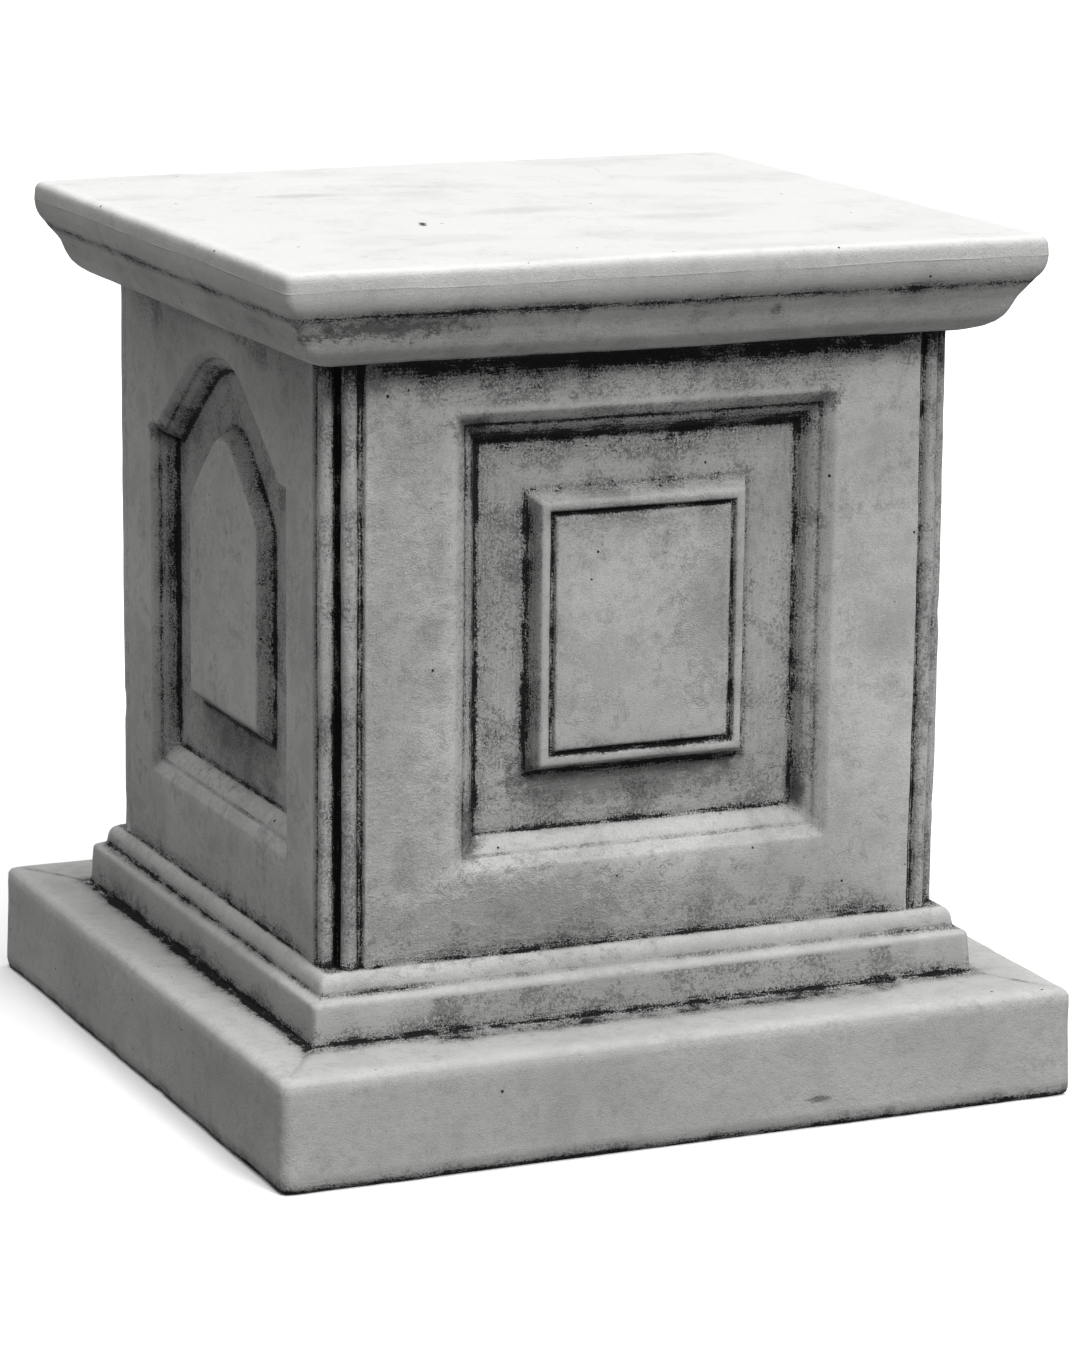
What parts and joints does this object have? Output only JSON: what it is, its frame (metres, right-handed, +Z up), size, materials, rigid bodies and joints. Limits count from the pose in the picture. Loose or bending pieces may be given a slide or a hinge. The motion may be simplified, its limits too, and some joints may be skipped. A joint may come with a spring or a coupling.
{
  "type": "pedestal",
  "caption": "Low square garden pedestal in cast stone: moulded cap with a rounded edge, panelled die with reeded corners, moulded base on a plain plinth.",
  "frame": {"origin": "centre of the underside, on the ground", "axes": "+Z up the pedestal; -Y is the rectangular-panelled front face, -X the arched-panelled face at its left"},
  "size_m": [0.38, 0.38, 0.3865],
  "materials": {
    "cast_stone": "matt cast stone with a dark wash rubbed into the hollows"
  },
  "bodies": {
    "root": {"cast_pedestal": "cast_stone"}
  },
  "joints": []
}
